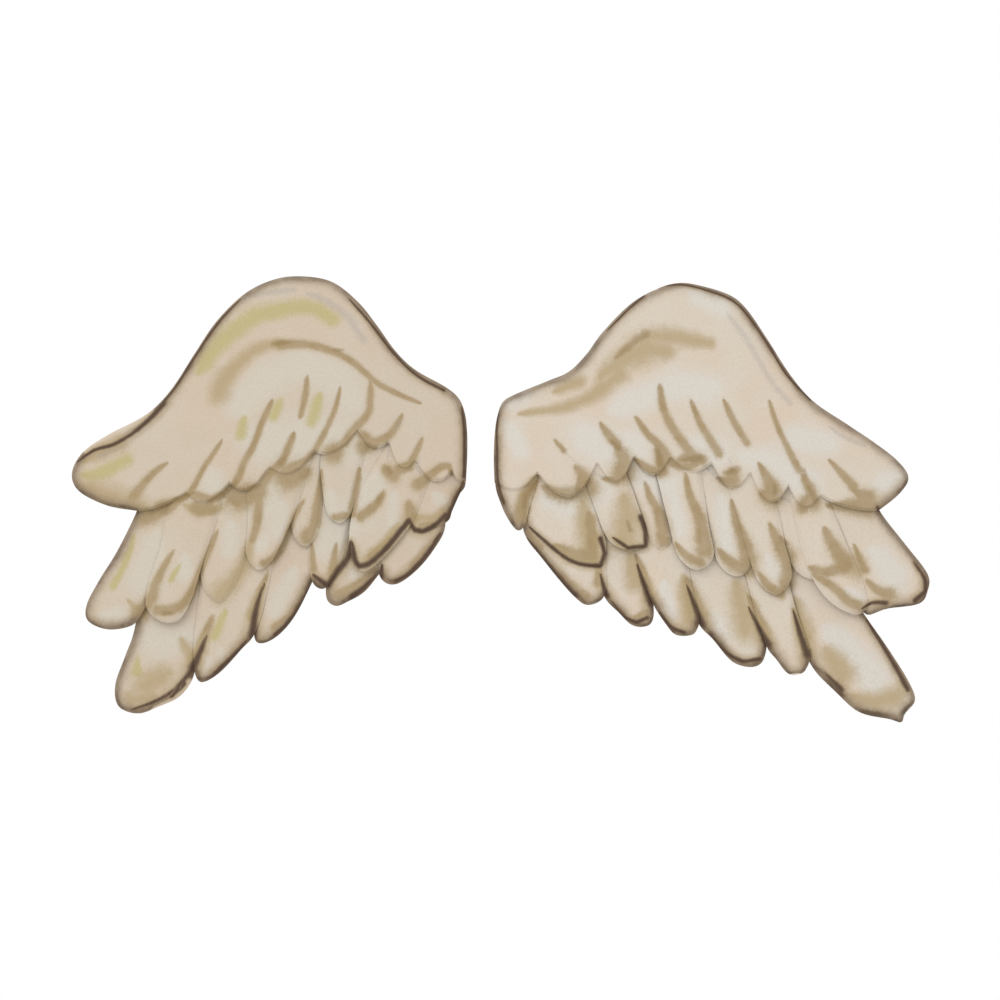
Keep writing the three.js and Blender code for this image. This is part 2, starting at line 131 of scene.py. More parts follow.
# Tan marker: strokes that part the feathers, with painted shade along one side of each and under the tips
# above.
TAN = [
    # left wing: the arm's long arc of painted shade, then the strokes between its lobes, each shading one
    # side
    (0.7, 1.4, [(-18, 8), (-23, 10), (-30, 13.4), (-34, 16.6), (-39, 20.8), (-45, 23.8), (-53.5, 25.8),
        (-60, 25.4)]),
    (1.0, 1.3, [(-33, 14.5), (-33, 9), (-34, 4.5), (-38, 0), (-41, -4)]),
    (2.4, 3.4, [(-42, -5), (-44, -7)]),
    (0.7, 1.1, [(-42, 13), (-43.4, 7), (-45.4, 2), (-47.4, -2), (-50, -6.5), (-53, -9.4), (-57, -11)]),
    (1.0, 0.7, [(-52, 16), (-52.6, 10), (-54, 4)]),
    (1.1, 1.5, [(-56, -1), (-57.5, -5), (-59.5, -9.5), (-63, -13), (-66, -17)]),
    (0.9, 1.2, [(-62.4, 9), (-65.6, 2), (-67.8, -4), (-71, -10), (-73, -15), (-77, -19), (-81, -20.8),
        (-86, -19.4)]),
    (0.7, 1.1, [(-77.5, -3), (-80, -7), (-83.4, -12), (-86.6, -18), (-90, -21), (-98, -24.5)]),
    (0.9, 1.4, [(-94, -10), (-97, -12), (-101, -16), (-104, -20)]),
    (1.0, 1.4, [(-23.5, 4.5), (-26, 0), (-28, -2), (-32, -3.8), (-35.5, -1.5)]),
    (2.2, 2.6, [(-32, -5), (-35, -5)]),
    (0.9, 1.1, [(-17.5, -2.5), (-19, -6), (-21, -10), (-25, -11.5)]),
    (2.6, 2.2, [(-28.6, -11.6), (-26.2, -13.8)]),
    (1.2, 0.9, [(-26, -13), (-21, -11.4)]),
    (0.9, 1.7, [(-8.5, -13.5), (-9.5, -10.8), (-12, -11.2), (-15, -13.5), (-19, -16.5)]),
    # left wing: shade that the arm's lobes throw on the second row
    (3.4, 4.0, [(-52, -12.5), (-58, -14)]),
    (4.0, 3.6, [(-66, -18.5), (-73, -20.5)]),
    (2.4, 2.2, [(-80, -24), (-85, -23.5)]),
    (1.4, 2.2, [(-89, -20.6), (-96, -23.4)]),
    (1.8, 2.6, [(-92, -23), (-101, -26)]),
    # left wing: strokes of the second row, with painted shade under the tips
    (0.9, 1.3, [(-36.4, -11.5), (-37, -16), (-38, -21), (-38.6, -25)]),
    (1.4, 1.1, [(-38, -25.4), (-43.6, -26.2)]),
    (1.3, 1.5, [(-29, -18.5), (-31, -22), (-34, -24.5), (-36, -26)]),
    (2.2, 1.8, [(-21.5, -22), (-20.6, -27)]),
    (0.8, 1.7, [(-47.8, -12), (-48.6, -20), (-49.8, -28)]),
    (2.6, 2.6, [(-50.5, -29.5), (-52, -32)]),
    (0.8, 1.2, [(-53, -21), (-56, -26), (-58.6, -33), (-61.5, -38), (-65, -40)]),
    (1.6, 1.0, [(-66.5, -18), (-67, -27), (-68.5, -33)]),
    (0.8, 1.6, [(-79, -30), (-81, -35), (-83.6, -41), (-85.6, -46), (-89, -52), (-93, -54), (-97, -54)]),
    (0.8, 2.2, [(-92, -36), (-95, -41), (-97.5, -46), (-99, -51), (-102.5, -55)]),
    # left wing: shade inside the long feathers
    (1.2, 1.7, [(-80.5, -56), (-83, -62), (-85.6, -69)]),
    (0.8, 1.6, [(-64, -43), (-66.5, -49), (-68.5, -56)]),
    (0.8, 1.0, [(-25, -31), (-28, -33.5), (-33, -38)]),
    (0.8, 1.2, [(-43.4, -34), (-44, -38), (-44.6, -43)]),
    (1.2, 1.2, [(-13.5, -33), (-17, -37.5), (-20, -41)]),
    (1.2, 1.4, [(-32, -42), (-37, -46.5), (-43, -49.5)]),
    (0.8, 1.0, [(-50.8, -34), (-50.2, -42)]),
    (1.0, 1.2, [(-52, -49), (-56, -55), (-62, -59.5)]),
    (0.9, 1.3, [(-70, -62), (-74, -68), (-79, -73)]),
    (0.8, 0.9, [(-14, -28), (-18, -28.6)]),
    # right wing: strokes between the arm's lobes, each shading one side, with painted shade under the
    # tips
    (1.1, 1.4, [(53.8, 13.5), (55, 6), (58, 0), (62, -5.5), (64.5, -9.5)]),
    (1.2, 1.5, [(65, -10.5), (61, -11), (57, -9.5)]),
    (0.9, 1.4, [(46.5, 4), (50, -1), (54, -5), (57, -9.5)]),
    (1.7, 1.9, [(53, -4.5), (53.8, -8), (54.6, -12)]),
    (1.7, 1.7, [(59.5, -9), (63, -7.6), (66.5, -9)]),
    (1.1, 1.3, [(46, -8.5), (50, -11.3), (54, -13)]),
    (1.1, 1.5, [(36, 2), (38.5, -1.5), (41, -4.5)]),
    (2.0, 3.2, [(41, -5), (43, -9), (42.8, -13)]),
    (1.3, 1.6, [(37, -14.6), (41, -15.2)]),
    (0.9, 0.8, [(22.3, -3), (25, -6.2)]),
    (1.4, 3.2, [(28.5, -11), (31, -14), (32.2, -17.5)]),
    (1.8, 2.4, [(19, -17), (23, -19.2), (28, -19.2), (31, -18.5)]),
    (2.0, 2.2, [(17, -14.5), (14.5, -18), (12.8, -22), (12, -26.5)]),
    (0.8, 1.3, [(63, 9), (66, 2), (69, -3), (71.5, -7)]),
    (0.9, 1.0, [(73, 9), (76, 2.6), (79, -2.5), (80, -4)]),
    (2.6, 2.8, [(75.5, -12.4), (75.4, -15)]),
    (1.2, 1.6, [(71.3, -14.4), (73.5, -15.5)]),
    (0.7, 1.0, [(86.6, 9), (88.8, 2), (92, -5), (95.6, -12)]),
    (1.4, 2.2, [(96.6, -13.5), (99, -18), (100, -22)]),
    (2.8, 2.2, [(99, -20), (96.8, -23)]),
    (1.0, 2.6, [(83.5, -10), (86, -14.5), (88, -18.5)]),
    (2.6, 3.6, [(84.5, -19.2), (87.5, -20)]),
    (0.8, 1.4, [(104.6, -9), (108.4, -13), (112, -17)]),
    (1.4, 2.8, [(112, -18), (116, -20.5)]),
    (1.2, 3.2, [(104, -22.6), (110, -23), (116.4, -22.6)]),
    # right wing: strokes of the second row, with painted shade under the tips
    (0.9, 2.0, [(49.4, -15.8), (51, -20), (53.6, -25), (55, -30)]),
    (2.8, 2.6, [(54.2, -31), (55, -33)]),
    (0.9, 2.7, [(61.5, -13), (63, -20), (66, -27), (67.4, -36)]),
    (1.0, 1.6, [(58.6, -34), (62, -38), (66, -39.6)]),
    (0.9, 2.6, [(75.4, -21), (77, -28), (79.4, -34), (80.6, -39)]),
    (1.4, 2.2, [(71.5, -36), (76, -40.5), (81, -42)]),
    (1.1, 2.6, [(86.8, -28), (89, -33), (92, -38)]),
    (1.6, 2.4, [(90.4, -36), (92.4, -42), (92, -46)]),
    (1.2, 1.6, [(83.6, -43), (86.6, -47), (90, -48.5)]),
    (1.5, 2.4, [(103.3, -29.5), (105.5, -34), (109, -39.5)]),
    (1.4, 2.0, [(99, -41.4), (104, -42.6), (110, -40.6)]),
    (1.2, 1.5, [(100, -43.4), (105.5, -46.8), (110, -51), (113.6, -52.6)]),
    (0.9, 1.1, [(112.3, -34.5), (114, -39), (115.5, -42)]),
    (1.1, 1.8, [(116, -45), (119, -48), (123, -49.3)]),
    (1.8, 1.8, [(32.5, -25), (33.5, -31), (33.8, -37)]),
    (1.8, 2.2, [(22, -35), (28, -37.3), (33.5, -38)]),
    # right wing: shade inside the long feathers
    (1.4, 1.8, [(35.6, -41.5), (35.6, -45.5)]),
    (1.6, 2.0, [(21, -41.5), (25.5, -46), (31, -50.3)]),
    (1.0, 1.4, [(14.5, -30.5), (17.5, -35)]),
    (1.0, 1.6, [(46.6, -37.5), (49, -43), (50.8, -50)]),
    (1.8, 2.6, [(62, -45), (64, -50), (66.2, -57)]),
    (1.0, 2.0, [(80.5, -49.5), (83, -55), (85.6, -62)]),
    (0.9, 1.5, [(94, -54), (96.6, -61), (98.4, -67)]),
    (1.0, 1.2, [(46, -56.5), (50, -55)]),
]

# Painted shade: darker marker in the notches between the lobes, along their lower edges, under the tips
# and in the arm's shaded arc.
DEEP = [
    (0.9, 1.0, [(-57, 26.5), (-62, 26)]),
    (0.8, 0.8, [(-41, 24), (-44, 24)]),
    (1.2, 1.4, [(-58.5, -8), (-60, -10)]),
    (1.2, 1.4, [(-66, -16.5), (-69, -17.5)]),
    (0.8, 1.0, [(-73, -15.5), (-77, -19.2), (-81, -21.3)]),
    (0.8, 0.9, [(-86, -18.7), (-91, -21), (-99, -24.7)]),
    (0.9, 0.9, [(-28, -11), (-27, -13)]),
    (0.9, 1.0, [(-29, -19), (-31, -21.5)]),
    (0.8, 0.9, [(-92, -55), (-95, -55)]),
    (0.7, 0.9, [(-100, -53), (-103, -57)]),
    (1.2, 1.4, [(40.5, 21.6), (45, 25.6), (49.5, 28.8)]),
    (0.9, 0.9, [(39, -3), (41.5, -5.5)]),
    (1.3, 1.3, [(53.4, -6), (54, -10)]),
    (1.2, 1.2, [(60.5, -9), (66, -8.4)]),
    (0.8, 0.9, [(29.5, -14), (29, -18)]),
    (1.1, 0.8, [(17, -15.5), (14, -19), (13, -23)]),
    (0.9, 0.9, [(98, -14), (97, -12)]),
    (1.3, 1.3, [(73, -12.8), (77, -12)]),
    (1.0, 1.0, [(98.4, -17), (100.4, -21)]),
    (0.9, 1.1, [(90, -32), (92, -34)]),
    (0.8, 0.9, [(44, -27), (45, -30)]),
    (0.8, 0.8, [(88, -16), (88.5, -19)]),
]

# Ink lines that part the long feathers and outline the tips nearest the root.
INK = [
    (0.6, 1.4, [(-65, -46), (-66.8, -51), (-68, -56.5), (-68.6, -61.8)]),
    (0.7, 1.4, [(-82.3, -61.5), (-84, -66), (-86.8, -72)]),
    (1.2, 1.0, [(-39, -33.5), (-39.8, -38), (-43, -42.5), (-45.7, -46.5)]),
    (1.0, 0.9, [(-38.5, -34), (-37.8, -38.8), (-36.4, -40.8), (-33.4, -40),
        (-28.8, -36), (-24.8, -31.2), (-21.6, -27.2)]),
    (1.0, 0.8, [(-21.3, -27.5), (-19.8, -30), (-17.5, -30.4), (-14, -28.8), (-10.5, -25.5)]),
    (0.8, 1.2, [(-29.6, -40.5), (-30, -44)]),
    (1.0, 1.0, [(-50.3, -43.5), (-46.5, -46.5)]),
    (0.5, 0.9, [(-121, -9.6), (-116, -6.1), (-110, -4.3), (-104, -0.7), (-99, 3.6), (-95, 8)]),
    (0.5, 0.8, [(-105, -84), (-98, -81.6), (-92, -78), (-87, -72.5)]),
    (0.6, 1.3, [(47, -40), (49, -46), (51.3, -52)]),
    (0.6, 1.4, [(62, -46.5), (64.5, -53), (66.6, -58.5)]),
    (0.5, 1.3, [(80.5, -53), (83.5, -59), (86.3, -64.5)]),
    (0.6, 1.4, [(94, -54), (96, -61), (98.3, -67.5)]),
    (0.6, 1.0, [(36, -43), (37, -47), (38, -49.8)]),
    (0.6, 1.0, [(103, -72.5), (106, -75.5), (108.5, -78)]),
    (0.6, 0.8, [(114.5, -53.6), (118, -51.8), (122, -52)]),
    (0.7, 0.8, [(39.8, -32.3), (44.3, -35.4), (49.6, -34.8), (49.4, -30), (48, -26)]),
    (0.6, 0.8, [(14.5, -29), (19, -33), (25, -38), (30, -40.3), (36, -40.8), (37.4, -37), (36, -32.5)]),
    (0.9, 0.9, [(119, -23), (119.6, -24)]),
    # the darkest stretches of the outline
    (0.4, 0.5, [(-39.5, 39.4), (-33, 32), (-26, 23), (-19, 16.3), (-11, 11.9)]),
    (0.45, 0.5, [(-5.6, 7), (-4.9, 0), (-4.9, -8), (-5, -14)]),
    (0.35, 0.4, [(-72, 39.2), (-78, 33), (-84.4, 24), (-91, 13.6), (-95, 8.6)]),
    (0.3, 0.4, [(38, 29.8), (44.6, 36.4), (49, 40.2)]),
    (0.35, 0.4, [(55.4, 43.2), (60.4, 43.6), (67, 42.2), (75, 39.2), (80, 34.6), (86, 26), (92, 16.4),
        (99, 9)]),
    (0.3, 0.4, [(5.4, 6), (4.9, 0), (5, -8), (5.2, -15), (7, -22)]),
    (0.6, 0.9, [(-5.2, -15.4), (-7.2, -20.5), (-10.2, -27)]),
    (0.8, 0.7, [(-12.2, -31), (-15, -35.8), (-18.4, -40), (-22, -43.5), (-25.5, -45.3)]),
    (0.7, 1.0, [(-31.6, -43.7), (-35, -47.2), (-39, -50.2)]),
    (0.8, 0.6, [(-51.6, -47.5), (-54.6, -53.2), (-58.2, -58.2), (-62, -61.6)]),
    (0.7, 0.6, [(-70, -63), (-74.5, -68), (-80, -73.2)]),
    (0.7, 0.5, [(-88.4, -76), (-93, -80.2)]),
    (0.6, 0.8, [(115.8, -56.4), (120.4, -63.8), (125, -71.5), (128.4, -78)]),
    (0.6, 0.8, [(130, -39.6), (133.4, -44.5), (133.6, -48.5), (130.5, -51.2)]),
    (0.5, 0.9, [(14, -32.5), (19.5, -39.2), (25, -46), (28.6, -49.8)]),
    (0.5, 0.7, [(39.6, -51.6), (43, -56), (47, -57.8), (50.2, -56.4)]),
    (0.6, 0.7, [(53.8, -54.6), (57, -59), (61, -60.8)]),
    (0.6, 0.7, [(68.8, -61), (74, -67), (79, -69.6), (84, -68.8)]),
]

# Yellow-green marker, on the left wing only.
GREEN = [
    (3.4, 2.8, [(-84.5, 17.5), (-79.8, 24.6), (-74, 30), (-67, 34.3), (-60, 36), (-55, 36.8), (-50, 36.4),
        (-44.5, 33.5)]),
    (2.4, 2.0, [(-71, 3.5), (-72, -1.5)]),
    (2.4, 2.0, [(-60, 8.8), (-62, 4.2)]),
    (2.5, 2.1, [(-48.2, 10.5), (-50.6, 2.5)]),
    (2.8, 2.2, [(-119, -13.5), (-114, -13), (-106, -9)]),
    (1.2, 1.4, [(-104, -31), (-106.4, -39), (-110.5, -47)]),
    (1.0, 1.2, [(-90, -40), (-93, -45)]),
    (1.4, 1.8, [(-103, -68), (-103.5, -73)]),
    (1.6, 1.8, [(-76.5, -54), (-80, -62)]),
]

# Painted shade: broad soft washes of tan, laid before the strokes, where the arm rolls under and along
# the lower parts of the feathers.
WASH = [
    (1.8, 3.6, [(-58, 26.4), (-66, 24.8), (-71, 21.5), (-75, 17.5), (-78, 13), (-78.3, 11)]),
    (1.4, 3.4, [(11.5, 4.8), (18, 5.6), (25, 6.8), (32, 9.4), (37, 13), (42, 17)]),
    (3.6, 5.4, [(36, 16), (43, 21), (50, 24.6)]),
    (3.6, 2.0, [(50, 28.4), (56, 28), (63, 27), (69, 26)]),
    (4.0, 3.0, [(50, 24), (56, 23.6)]),
    (2.0, 2.2, [(22, 11.4), (30, 14.6)]),
    (3.2, 3.8, [(107, -37.6), (113, -41.5)]),
    (4.6, 4.2, [(-94, -73), (-101, -77)]),
    (2.4, 2.8, [(-98, -80), (-105, -81)]),
    (2.4, 2.0, [(-90, -63), (-86, -70)]),
    (4.4, 4.2, [(-119, -17), (-112, -20), (-103, -23.5)]),
    (2.2, 2.6, [(-119, -9.5), (-108, -4)]),
    (2.2, 3.6, [(-69, -33), (-71, -40), (-74, -45), (-78, -49)]),
    (1.2, 1.4, [(-106, -51), (-101, -56)]),
    (1.7, 1.5, [(-20.5, -26), (-14.5, -26.6), (-9.5, -23.6)]),
    (1.4, 1.8, [(-24.5, -28), (-29, -34), (-34, -38.6)]),
    (1.6, 1.8, [(-89, -22.5), (-84, -24.5), (-78, -23)]),
    (2.0, 2.0, [(-57, -60), (-51, -51)]),
    (4.0, 5.4, [(43, -20), (44, -26), (43, -32)]),
    (3.2, 3.6, [(31, -22), (31.5, -30), (33, -37)]),
    (1.8, 2.2, [(13, -19), (12.4, -26)]),
    (3.0, 3.0, [(45, -37), (46, -46)]),
    (2.4, 3.2, [(61, -44), (62.5, -57)]),
    (4.0, 4.2, [(77, -46), (80, -60)]),
    (2.6, 3.0, [(95, -51), (98, -62)]),
    (4.0, 4.4, [(104, -66), (109, -73)]),
    (3.0, 3.6, [(112, -80), (119, -82), (125, -80)]),
    (1.4, 1.6, [(91, -47), (90.5, -50)]),
]

# Painted highlights: bare card and white pencil, paler than the base, where light falls on the feathers.
PAINTED_HIGHLIGHTS = [
    (7.5, 6.5, [(-69, -3), (-58, -4), (-50, -2), (-40, -5)]),
    (5.0, 5.0, [(-62, -17), (-66, -24)]),
    (4.0, 4.0, [(-81, -13), (-78, -22)]),
    (5.0, 5.0, [(-31, -14), (-40, -27), (-47, -34)]),
    (6.5, 6.0, [(30, -1), (37, -5), (46, -5)]),
    (5.0, 4.5, [(20, -21), (28, -22), (36, -18)]),
    (5.5, 5.0, [(84, -8), (91, -12), (98, -16)]),
    (4.5, 4.5, [(64, -4), (71, -7)]),
    (4.5, 4.0, [(46, -14), (56, -17)]),
    (5.5, 5.0, [(-38, 7), (-42, 14), (-52, 20), (-63, 16), (-72, 8)]),
    (3.0, 4.0, [(-97, -31), (-102, -45)]),
    (2.4, 2.6, [(-88.5, -38), (-89, -43)]),
    (3.0, 2.4, [(-75, -28), (-75.5, -36)]),
    (2.6, 2.2, [(-64, -32), (-66.5, -35)]),
    (2.6, 2.4, [(-56, -42), (-62, -54)]),
    (2.0, 1.6, [(-78, -66), (-77, -71)]),
    (2.2, 2.2, [(-31.5, -14), (-33, -18)]),
    (2.0, 2.0, [(-26, -27), (-24, -31)]),
    (2.2, 2.2, [(-14, -19), (-11, -22)]),
    (2.5, 3.0, [(-114, -56), (-109, -56)]),
    (4.2, 4.0, [(-103, -61), (-96, -63.5), (-88, -63)]),
    (1.6, 1.4, [(-83, -73), (-82, -69)]),
    (3.0, 3.0, [(-60, -22), (-61, -30)]),
    (3.0, 2.0, [(-45, -19), (-44, -30)]),
    (2.0, 1.6, [(-27, -28), (-26, -20)]),
    (2.0, 1.6, [(-40, -42), (-35, -45)]),
    (3.0, 2.4, [(8, 7.5), (13, 10)]),
    (5.0, 5.0, [(40, 6), (58, 13), (68, 12)]),
    (3.8, 3.2, [(119, -16.6), (126.4, -14.4)]),
    (5.0, 4.0, [(92, -2), (104, -4)]),
    (4.0, 5.0, [(118, -36), (124, -44)]),
    (4.0, 5.0, [(104, -60), (110, -65), (118, -74)]),
    (4.0, 3.0, [(64, 41), (72, 37)]),
    (3.0, 3.0, [(8, 2), (12, -6)]),
    (2.0, 2.0, [(128.4, -80.5), (127, -84.5)]),
    (3.2, 3.2, [(78, -7), (82, -9)]),
    (2.4, 2.4, [(58, -20), (60, -30)]),
    (2.4, 2.4, [(72, -20), (74, -36)]),
    (2.4, 2.4, [(55, -46), (57, -55)]),
    (2.2, 2.2, [(70, -55), (72, -62)]),
    (2.2, 2.2, [(86, -38), (89, -43)]),
    (2.2, 2.2, [(110, -48), (114, -51)]),
]

# Grey construction lines left by a pencil.
PENCIL = [
    (0.4, 0.4, [(24.5, -6), (30, -10.5), (37, -14.3)]),
    (0.4, 0.4, [(66, -10), (69, -12.5), (72, -15)]),
    (0.4, 0.4, [(41, -5), (45, -8)]),
    (0.4, 0.4, [(74, -8), (76, -11)]),
    (0.5, 0.5, [(88, -19), (93, -21.5)]),
    (0.9, 0.9, [(-72, 39), (-66, 41), (-56, 42)]),
    (1.2, 1.2, [(-52, 41), (-46, 38.5), (-40, 34), (-35, 27)]),
    (1.0, 1.0, [(-93, 8), (-99, 2), (-106, -3.5), (-114, -7.5)]),
    (0.5, 0.5, [(-18, -8), (-19.5, -11), (-18, -13)]),
    (0.4, 0.4, [(-27, -2), (-28, -9)]),
    (0.5, 0.5, [(-23, 4), (-26, -0.5)]),
    (0.9, 0.9, [(74, 35), (80, 27), (87, 15), (93, 8)]),
    (0.7, 0.7, [(104.5, 1), (109, -2), (115, -4.5)]),
]

# Places where the ink along the outer rim was left out or fell outside the cut.
BARE = [
    (1.3, 1.3, [(50, 42.2), (52.5, 43.2)]),
    (2.6, 2.0, [(-118, -6), (-109, 0.4), (-100, 5.6)]),
    (2.0, 2.4, [(-99, -85), (-91, -82.2), (-88.5, -77)]),
    (1.2, 1.2, [(93, -74), (95.5, -74)]),
    (1.2, 1.2, [(127.5, -87.4), (130, -84)]),
]

# ---------------------------------------------------------------- working out the sheets


def rounded_path(points, closed, steps):
    """More points on a path: between two neighbours it is a cubic curve whose slope at each
    point is half the way from the point before to the point after, or zero at a sharp corner."""
    points = np.asarray(points, float)
    if closed:
        before = np.roll(points, 1, axis=0)
        after = np.roll(points, -1, axis=0)
    else:
        before = np.vstack([points[:1], points[:-1]])
        after = np.vstack([points[1:], points[-1:]])
    arriving = points - before
    leaving = after - points
    turn = np.arctan2(np.cross(arriving, leaving), (arriving * leaving).sum(axis=1))
    slope = (after - before) / 2 * (np.abs(turn) < SHARP_TURN)[:, None]
    t = np.arange(steps)[None, :, None] / steps
    start, end = points[:, None], after[:, None]
    slope_after = np.roll(slope, -1, axis=0) if closed else np.vstack([slope[1:], slope[-1:]])
    start_slope, end_slope = slope[:, None], slope_after[:, None]
    curve = (
        (2 * t**3 - 3 * t**2 + 1) * start
        + (t**3 - 2 * t**2 + t) * start_slope
        + (3 * t**2 - 2 * t**3) * end
        + (t**3 - t**2) * end_slope
    )
    if closed:
        return curve.reshape(-1, 2)
    return np.vstack([curve[:-1].reshape(-1, 2), points[-1:]])


def node_triangles(node):
    """The node's corners without doubles, in millimetres, and its triangles as rows of three."""
    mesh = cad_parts[node].data
    places = np.empty(len(mesh.vertices) * 3)
    mesh.vertices.foreach_get("co", places)
    mesh.calc_loop_triangles()
    triangles = np.empty(len(mesh.loop_triangles) * 3, np.int32)
    mesh.loop_triangles.foreach_get("vertices", triangles)
    rounded = np.round(places.reshape(-1, 3) / MM, SAME_PLACE_DECIMALS)
    corners, index = np.unique(rounded, axis=0, return_inverse=True)
    return corners, index.ravel()[triangles].reshape(-1, 3)


def sheet_outline(node):
    """The outline of a flat sheet as x and z, in order.

    A side of a front triangle that no second front triangle shares is part of the outline, and
    following those sides nose to tail gives the whole of it.
    """
    corners, triangles = node_triangles(node)
    front = corners[:, 1].min()
    flat = triangles[(corners[triangles][:, :, 1] < front + SAME_LEVEL).all(axis=1)]
    sides = np.vstack([flat[:, [0, 1]], flat[:, [1, 2]], flat[:, [2, 0]]])
    known = {tuple(side) for side in sides.tolist()}
    following = {a: b for a, b in known if (b, a) not in known}
    start = next(iter(following))
    loop = [start]
    while following[loop[-1]] != start:
        loop.append(following[loop[-1]])
    return rounded_path(corners[loop][:, [0, 2]], closed=True, steps=OUTLINE_STEPS)


def sheet_levels(node):
    """The front and back of a flat sheet in y, in millimetres."""
    low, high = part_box(node)
    return low.y / MM, high.y / MM


def slices(outline, axis, count):
    """Stations along an axis, and the two edges of the outline across it at each station.

    The outline is split where it reaches furthest back and furthest forward along the axis, and
    each half gives one edge. Stations bunch together at both ends, where the outline is round.
    """
    axis = np.asarray(axis, float) / np.linalg.norm(axis)
    sideways = np.array([-axis[1], axis[0]])
    along, across = outline @ axis, outline @ sideways
    first, last = int(along.argmin()), int(along.argmax())
    turned = np.roll(np.arange(len(outline)), -first)
    split = int(np.flatnonzero(turned == last)[0])
    halves = (turned[: split + 1], np.append(turned[split:], first)[::-1])
    share = (1 - np.cos(np.linspace(0, np.pi, count + 1))) / 2
    stations = along[first] + (along[last] - along[first]) * share
    edges = []
    for half in halves:
        climbing = np.maximum.accumulate(along[half]) + np.arange(len(half)) * CREEP
        edges.append(np.interp(stations, climbing, across[half]))
    return axis, sideways, stations, edges[0], edges[1]


def wing_lift(z):
    """How far a sheet stands forward of its own level: nothing at the arm, then growing with
    the square of the drop below it, up to the tip lift."""
    drop = np.clip((LIFT_START - z) / LIFT_REACH, 0, 1)
    return TIP_LIFT * drop**2


def sheet_grid(outline, axis, levels, thick, edge_reach, steps, camber):
    """A closed card sheet as a grid of places (along, around, 3) in millimetres, and which of
    them lie on its flat back.

    Each station is one loop: across the front from edge to edge, then back behind. The back
    is flat. The front rises from the cut edge as a smooth step over the edge reach, and the
    middle of the sheet stands proud by the camber, as a parabola. The last of the edge is
    rounded as a quarter circle, and the edge is pressed back by the square of its nearness.
    """
    axis, sideways, stations, edge_a, edge_b = slices(outline, axis, steps[0])
    around = np.linspace(0, 2 * np.pi, 2 * steps[1], endpoint=False)
    share = (1 - np.cos(around)) / 2
    width = np.abs(edge_b - edge_a)[:, None]
    across = edge_a[:, None] + (edge_b - edge_a)[:, None] * share[None, :]
    flat = stations[:, None, None] * axis + across[:, :, None] * sideways
    to_side = np.minimum(share, 1 - share)[None, :] * width
    to_end = np.minimum(stations - stations[0], stations[-1] - stations)[:, None]
    to_edge = np.minimum(to_side, to_end)
    rise = np.clip(to_edge / edge_reach, 0, 1)
    inset = 1 - np.clip(to_edge / (EDGE_THICK / 2), 0, 1)
    rounding = EDGE_THICK / 2 * (1 - np.sqrt(1 - inset**2))
    bulge = camber * 4 * share * (1 - share) * np.clip(width / CAMBER_WIDTH, 0, 1)
    height = EDGE_THICK - rounding + (thick - EDGE_THICK) * rise**2 * (3 - 2 * rise) + bulge
    in_front = (around <= np.pi)[None, :]
    pressed = EDGE_PRESS * (1 - rise) ** 2
    back = levels[1] - LEVEL_MARGIN + pressed - wing_lift(flat[:, :, 1])
    y = back - np.where(in_front, height, rounding)
    behind = ~in_front & (to_edge > thick / 2)
    return np.stack([flat[:, :, 0], y, flat[:, :, 1]], axis=2), behind


# ---------------------------------------------------------------- working out the paint


def stroke_ratio(places, strokes):
    """For each place, its distance from the nearest stroke's middle line as a share of the
    stroke's half width there: 0 on the line, 1 at the stroke's edge.

    A stroke's half width goes from the first to the second with the share of its length to
    the swell power. At its start it is cut to the taper's share of that, and it opens out
    along the taper's length as an exponential curve.
    """
    ratio = np.full(len(places), FAR)
    low, high = places.min(axis=0) - STROKE_REACH, places.max(axis=0) + STROKE_REACH
    for start_half, end_half, points in strokes:
        path = rounded_path(points, closed=False, steps=STROKE_STEPS)
        lengths = np.concatenate([[0], np.linalg.norm(np.diff(path, axis=0), axis=1).cumsum()])
        halves = start_half + (end_half - start_half) * (lengths / lengths[-1]) ** SWELL_POWER
        halves *= 1 - (1 - TAPER) * np.exp(-lengths / TAPER_LENGTH)
        for a, b, half_a, half_b in zip(path[:-1], path[1:], halves[:-1], halves[1:]):
            if (np.maximum(a, b) < low).any() or (np.minimum(a, b) > high).any():
                continue
            span = b - a
            t = np.clip((places - a) @ span / max(span @ span, TINY), 0, 1)
            gap = np.linalg.norm(places - a - t[:, None] * span, axis=1)
            ratio = np.minimum(ratio, gap / (half_a + (half_b - half_a) * t))
    return ratio


def inside(places, outline):
    """True for each place inside the outline: a line from it crosses the outline an odd
    number of times."""
    a, b = outline, np.roll(outline, -1, axis=0)
    x, z = places[:, :1], places[:, 1:]
    spans = (a[:, 1] > z) != (b[:, 1] > z)
    rise = np.where(b[:, 1] == a[:, 1], TINY, b[:, 1] - a[:, 1])
    crossing = a[:, 0] + (z - a[:, 1]) * (b[:, 0] - a[:, 0]) / rise
    return ((spans & (x < crossing)).sum(axis=1) % 2).astype(bool)


def evenly(outline, spacing):
    """Points along a closed outline, about one spacing apart."""
    closed = np.vstack([outline, outline[:1]])
    lengths = np.concatenate([[0], np.linalg.norm(np.diff(closed, axis=0), axis=1).cumsum()])
    wanted = np.linspace(0, lengths[-1], int(lengths[-1] / spacing), endpoint=False)
    return np.stack([np.interp(wanted, lengths, closed[:, k]) for k in (0, 1)], axis=1)


